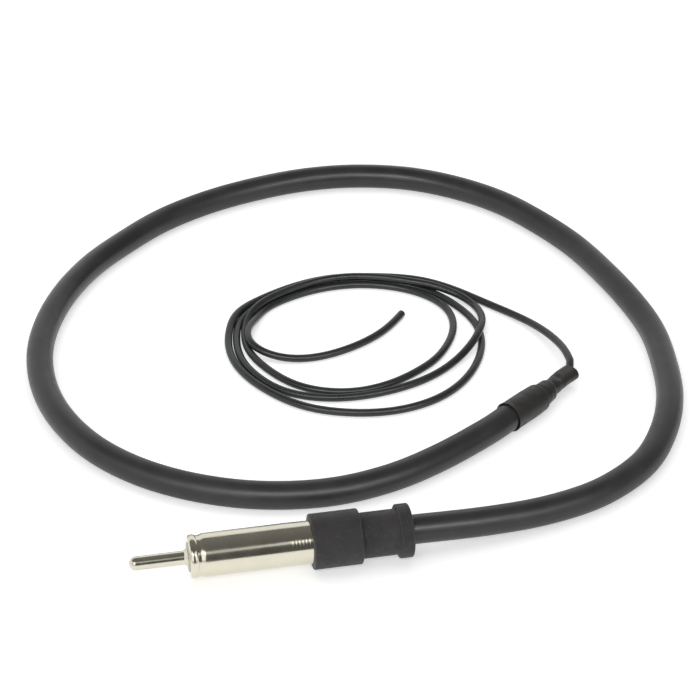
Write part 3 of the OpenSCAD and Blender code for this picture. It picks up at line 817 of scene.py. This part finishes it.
class AERIAL_OT_splice(bpy.types.Operator):
    """Forms the two heat-shrunk sleeves over the joint of cable and wire"""

    bl_idname = "aerial.splice"
    bl_label = "Splice Sleeves"

    def execute(self, context):
        q = context.scene.aerial_splice
        cable = context.scene.aerial_cords.cable_d / 2
        tube = shrunk_polyolefin("Polyolefin, heat-shrunk", q.tube)
        r, front = q.sleeve_d / 2, q.front_d / 2
        lip = q.sleeve_len - q.lip_len
        hold = q.inner_d / 2 + FIT
        bore = front - q.wall
        profile = rounded([
            (0.8 * MM, cable + FIT), (0, cable + 0.2 * MM, 0.05 * MM), (0, r + q.flare, 0.12 * MM),
            (1 * MM, r, 0.6 * MM), (SLEEVE_SEAT, r, 1.2 * MM),
            (SLEEVE_SEAT + q.taper_len, front, 1.2 * MM),
            (q.sleeve_len, front - 0.05 * MM, 1.3 * MM), (q.sleeve_len, hold, 0.1 * MM),
            (lip, hold), (lip, bore), (SLEEVE_SEAT, bore), (SLEEVE_SEAT, cable + FIT),
        ])
        outer = turned("sleeve_outer", profile, tube, splice_place)

        cone = q.sleeve_len + q.shoulder_len
        neck = cone + q.cone_len
        neck_end = neck + q.neck_len
        flat = neck_end + q.flatten_len
        end = q.sleeve_len + q.inner_show
        root = 2 * (bore - FIT)
        seat = lip - FIT
        bead = q.inner_d + q.bead
        mid_w, mid_h = (q.neck_d + q.pinch_w) / 2, (q.neck_d + q.pinch_h) / 2
        # Distance from the outer sleeve's mouth, width, height and lean to the wire's side
        stations = [
            (SLEEVE_SEAT + FIT, root, root, 0), (seat - 0.8 * MM, root, root, 0),
            (seat, q.inner_d, q.inner_d, 0), (q.sleeve_len + 0.2 * MM, q.inner_d, q.inner_d, 0),
            (q.sleeve_len + 1.1 * MM, bead, bead, 0.1 * q.lean),
            (cone, q.inner_d, q.inner_d, 0.25 * q.lean), (neck, q.neck_d, q.neck_d, 0.45 * q.lean),
            (neck_end, q.neck_d, q.neck_d, 0.5 * q.lean),
            (flat - q.flatten_len / 2, mid_w, mid_h, 0.8 * q.lean),
            (flat, q.pinch_w, q.pinch_h, q.lean), (end, q.pinch_w, q.pinch_h, q.lean),
        ]
        inner = self.lofted(stations, q.wall, tube)
        grip = splice_place(end - 5.6 * MM, 0.4 * q.lean, q.pinch_h / 2)
        self.pinched(inner, grip, 1.1 * MM, q.dent)
        for piece, node in ((outer, "splice_outer_sleeve"), (inner, "splice_inner_sleeve")):
            on_body(piece, node, slot="shrink_sleeve")
        return {"FINISHED"}

    def pinched(self, piece, middle, reach, depth):
        """Presses a dent into the top of the sleeve, where the tool held it."""
        for vertex in piece.data.vertices:
            off = vertex.co - middle
            if off.z > -reach:
                vertex.co.z -= depth * math.exp(-(off.x ** 2 + off.y ** 2) / reach ** 2)

    def lofted(self, stations, wall, material, sides=72):
        """A shell whose section goes smoothly from round to a flat oval."""
        at = [station[0] for station in stations]
        runs = np.concatenate([np.linspace(a, b, 9)[:-1] for a, b in zip(at, at[1:])] + [[at[-1]]])
        eased = []
        for a in runs:
            i = min(max(int(np.searchsorted(at, a, side="right")) - 1, 0), len(at) - 2)
            t = (a - at[i]) / (at[i + 1] - at[i])
            t = t * t * (3 - 2 * t)
            pair = zip(stations[i][1:], stations[i + 1][1:])
            eased.append([one * (1 - t) + two * t for one, two in pair])
        verts, faces = [], []
        for shrink in (0, wall):
            for a, (w, h, lean) in zip(runs, eased):
                w, h = w - 2 * shrink, h - 2 * shrink
                for k in range(sides):
                    turn = 2 * math.pi * (k + 0.5) / sides
                    c, s = math.cos(turn), math.sin(turn)
                    flat = (w - h) / 2 * math.copysign(1, c)
                    verts.append(splice_place(a, lean + flat + h / 2 * c, h / 2 * s))
        rows = len(runs)
        skin = rows * sides
        for k in range(sides):
            m = (k + 1) % sides
            for i in range(rows - 1):
                for base in (0, skin):
                    a, b = base + i * sides, base + (i + 1) * sides
                    faces.append((a + k, b + k, b + m, a + m))
            for row in (0, (rows - 1) * sides):
                faces.append((row + k, row + m, skin + row + m, skin + row + k))
        return finished("sleeve_inner", verts, faces, material)


class AERIAL_OT_coax_cable(bpy.types.Operator):
    """Lays the coaxial cable in its loop from the plug to the splice"""

    bl_idname = "aerial.coax_cable"
    bl_label = "Coaxial Cable"

    def execute(self, context):
        c = context.scene.aerial_cords
        r = c.cable_d / 2
        stations = plug_stations(context.scene.aerial_plug)
        collar, end = stations[2], stations[5]
        points = [Vector((x, 0, PLUG_Z)) for x in (collar + JACKET_END, end - 8 * MM, end)]
        for x, y, left in [(*point, 0)[:3] for point in CABLE_ROUTE]:
            points.append(Vector((x * MM, y * MM, r + left * (PLUG_Z - r))))
        # The sleeve's thickness lifts the cable a little off the table
        points += [splice_place(-c.cable_d, 0, (r - SPLICE_PLACE.z) / 3), splice_place(0, 0, 0),
                   splice_place(SLEEVE_SEAT, 0, 0)]
        line = faired(resampled(points, 1.5 * MM), 30)
        line[:, 2] = np.maximum(line[:, 2], r)
        jacket = extruded_pvc("PVC jacket, extruded", c.jacket, c.cable_d, 0.36)
        cable = swept_cord("cable", line, c.cable_d, 40, jacket)
        on_body(cable, "coax_cable", slot="cable_jacket")
        return {"FINISHED"}


class AERIAL_OT_thin_wire(bpy.types.Operator):
    """Lays the thin wire from the splice round its loose coil to its cut end"""

    bl_idname = "aerial.thin_wire"
    bl_label = "Thin Wire"

    def execute(self, context):
        c, q = context.scene.aerial_cords, context.scene.aerial_splice
        r = c.wire_d / 2
        end = q.sleeve_len + q.inner_show
        side = q.lean + (q.pinch_w - q.pinch_h) / 2
        neck = 0.45 * q.lean + q.neck_d / 2 - q.wall - r - SLIP
        points = [
            splice_place(WIRE_START, neck, 0), splice_place(WIRE_START + r, neck, 0),
            splice_place(end - 3 * r, side, 0), splice_place(end + r / 4, side, 0),
            splice_place(end + 1.6 * r, side + r, r / 3),
        ]
        for x, y, z in [(*point, 0)[:3] for point in WIRE_ROUTE]:
            points.append(Vector((x, y, z + r / MM)) * MM)
        step = 1.1 * MM
        line = faired(resampled(points, step), 6)
        line = settled(line, c.wire_d * 1.01, step, passes=80, held=9)
        vinyl = extruded_pvc("PVC wire insulation, extruded", c.wire, c.wire_d, 0.31)
        wire = swept_cord("wire", line, c.wire_d, 20, vinyl)
        on_body(wire, "wire_lead", "wire_coil", "wire_tail", slot="wire_insulation")
        return {"FINISHED"}


class AERIAL_OT_inside(bpy.types.Operator):
    """Finishes the pieces inside the plug and the splice"""

    bl_idname = "aerial.inside"
    bl_label = "Inside Pieces"

    def execute(self, context):
        copper = drawn_metal("Copper, drawn", linear("c9805a"), 0.3)
        brass = drawn_metal("Brass, drawn", linear("b89a5a"), 0.32)
        braid = woven_braid("Tinned copper braid", linear("c9c9c7"))
        foam = foamed_polyethylene("Foamed polyethylene", linear("eeeeea"))
        solder = satin_solder("Solder, cooled", linear("bfc1c4"))
        finishes = {
            "crimp_ferrule": brass, "plug_core": copper, "plug_foam": foam, "plug_braid": braid,
            "plug_solder": solder, "splice_braid": braid, "splice_foam": foam,
            "splice_core": copper, "splice_joint": solder, "wire_strands": copper,
        }
        for node, material in finishes.items():
            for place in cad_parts[node].material_slots:
                place.material = material
        return {"FINISHED"}


class AERIAL_OT_stage(bpy.types.Operator):
    """Sets the floor, the backdrop, the lamps, the world and the camera"""

    bl_idname = "aerial.stage"
    bl_label = "Stage"

    def execute(self, context):
        s = context.scene.aerial_stage
        scene = context.scene
        scene.view_settings.view_transform = "Standard"
        self.sweep(s.floor)
        self.world(scene)
        middle, plug = (0.03, 0.075, 0), (0, 0, 0)
        self.lamp("Overhead lamp", (0.02, 0.15, 0.75), middle, (0.9, 0.9), s.key, mirrored=False)
        self.lamp("Front lamp", (-0.25, -0.55, 0.6), middle, (0.5, 0.25), s.fill, mirrored=False)
        strip_place, strip_size = (-0.1, -0.575, 0.64), (1.6, 0.2)
        self.lamp("Strip lamp", strip_place, plug, strip_size, s.strip)
        # Two soft boxes to the sides, which only the reflections show
        for name, x in (("Left box", -0.45), ("Right box", 0.5)):
            box = self.lamp(name, (x, -0.6, 0.43), plug, (0.6, 0.8), s.boxes)
            box.visible_diffuse = False
        # The strip as the satin black cords show it: brighter, as it would burn out the nickel
        sheen = self.lamp("Sheen lamp", strip_place, middle, strip_size, s.sheen)
        black = bpy.data.collections.new("Satin black cords")
        for name in ("cable", "wire"):
            black.objects.link(bpy.data.objects[name])
        sheen.light_linking.receiver_collection = black
        self.camera(scene)
        return {"FINISHED"}

    def camera(self, scene):
        data = bpy.data.cameras.new("Camera")
        data.sensor_width = 36
        data.lens = 114.7
        data.clip_start = 0.01
        scene.camera = self.aimed("Camera", data, (-0.0544, -0.3542, 0.2859), (0.0319, 0.0775, 0.0))

    def aimed(self, name, data, place, aim):
        """A lamp or camera at that place, turned to the aim."""
        thing = linked(name, data)
        thing.location = place
        way = Vector(aim) - Vector(place)
        thing.rotation_euler = way.to_track_quat("-Z", "Y").to_euler()
        return thing

    def sweep(self, tone):
        """White paper: a floor that curves up into a backdrop, and a card on the left.

        To the camera and in reflections it shows near white, with the object's shadow."""
        shader = {"Base Color": rgba(tone), "Roughness": 0.9, "Emission Color": (1, 1, 1, 1)}
        material, tree = new_material("Paper sweep, white", **shader)
        rays = add(tree, "ShaderNodeLightPath").outputs
        seen = worked_out(tree, "MAXIMUM", rays["Is Camera Ray"], rays["Is Glossy Ray"])
        # The lamps light the floor more than the upright paper, which glows more to make up for it
        height = add(tree, "ShaderNodeSeparateXYZ", {0: object_space(tree)}).outputs[2]
        level = mapped(tree, height, 0.0, 0.4, 0.55, 0.85)
        fed(material, {"Emission Strength": worked_out(tree, "MULTIPLY", seen, level)})
        bend = 0.25
        outline = [(-1.6, 0)]
        for k in range(17):
            turn = math.pi / 2 * k / 16
            outline.append((0.9 + bend * math.sin(turn), bend - bend * math.cos(turn)))
        outline.append((0.9 + bend, 1.1))
        verts = [(x, y, z) for y, z in outline for x in (-1.8, 1.8)]
        faces = [(2 * i, 2 * i + 1, 2 * i + 3, 2 * i + 2) for i in range(len(outline) - 1)]
        self.paper("floor", verts, faces, material)
        card = [(-1.1, y, z) for y, z in ((-0.5, 0), (0.9, 0), (0.9, 0.9), (-0.5, 0.9))]
        self.paper("side_card", card, [(0, 1, 2, 3)], material)

    def paper(self, name, verts, faces, material):
        mesh = bpy.data.meshes.new(name)
        mesh.from_pydata(verts, [], faces)
        mesh.shade_smooth()
        mesh.materials.append(material)
        linked(name, mesh)

    def world(self, scene):
        """White to the camera, else a dim room that is darkest in front."""
        world = bpy.data.worlds.new("Room")
        world.use_nodes = True
        tree = world.node_tree
        tree.nodes.clear()
        way = add(tree, "ShaderNodeTexCoord").outputs["Generated"]
        depth = add(tree, "ShaderNodeSeparateXYZ", {0: way}).outputs[1]
        room = mapped(tree, depth, -1.0, 0.4, 0.08, 0.2)
        seen = add(tree, "ShaderNodeLightPath").outputs["Is Camera Ray"]
        level = mapped(tree, seen, 0.0, 1.0, room, 1.0)
        warm = (1.0, 0.99, 0.97, 1.0)
        light = add(tree, "ShaderNodeBackground", {"Color": warm, "Strength": level})
        add(tree, "ShaderNodeOutputWorld", {"Surface": light.outputs[0]})
        scene.world = world

    def lamp(self, name, place, aim, size, watts, mirrored=True):
        """A rectangular lamp, which reflections show if it is mirrored."""
        data = bpy.data.lights.new(name, "AREA")
        data.shape = "RECTANGLE"
        data.size, data.size_y = size
        data.energy = watts
        lamp = self.aimed(name, data, place, aim)
        lamp.visible_glossy = mirrored
        return lamp


class AERIAL_PT_panel(bpy.types.Panel):
    bl_idname = "AERIAL_PT_panel"
    bl_label = "Wire Aerial Lead"
    bl_space_type = "VIEW_3D"
    bl_region_type = "UI"
    bl_category = "Aerial"

    def draw(self, context):
        for label, group, kind in GROUPS:
            box = self.layout.box()
            box.label(text=label)
            for name in kind.__annotations__:
                box.prop(getattr(context.scene, group), name)
        for step in STEPS:
            self.layout.operator(step.bl_idname)


GROUPS = (
    ("Plug", "aerial_plug", AerialPlug),
    ("Cords", "aerial_cords", AerialCords),
    ("Splice", "aerial_splice", AerialSplice),
    ("Stage", "aerial_stage", AerialStage),
)
STEPS = (
    AERIAL_OT_splice, AERIAL_OT_coax_cable, AERIAL_OT_thin_wire, AERIAL_OT_centre_pin,
    AERIAL_OT_barrel, AERIAL_OT_boot, AERIAL_OT_inside, AERIAL_OT_stage,
)


def register():
    for kind in (*(g[2] for g in GROUPS), *STEPS, AERIAL_PT_panel):
        bpy.utils.register_class(kind)
    for _, group, kind in GROUPS:
        setattr(bpy.types.Scene, group, bpy.props.PointerProperty(type=kind))


def unregister():
    for _, group, _ in GROUPS:
        delattr(bpy.types.Scene, group)
    for kind in (AERIAL_PT_panel, *STEPS, *(g[2] for g in GROUPS)):
        bpy.utils.unregister_class(kind)


def main():
    register()
    for step in STEPS:
        family, name = step.bl_idname.split(".")
        if getattr(getattr(bpy.ops, family), name)() != {"FINISHED"}:
            raise RuntimeError(step.bl_label + " didn't finish")


if __name__ == "__main__":
    main()
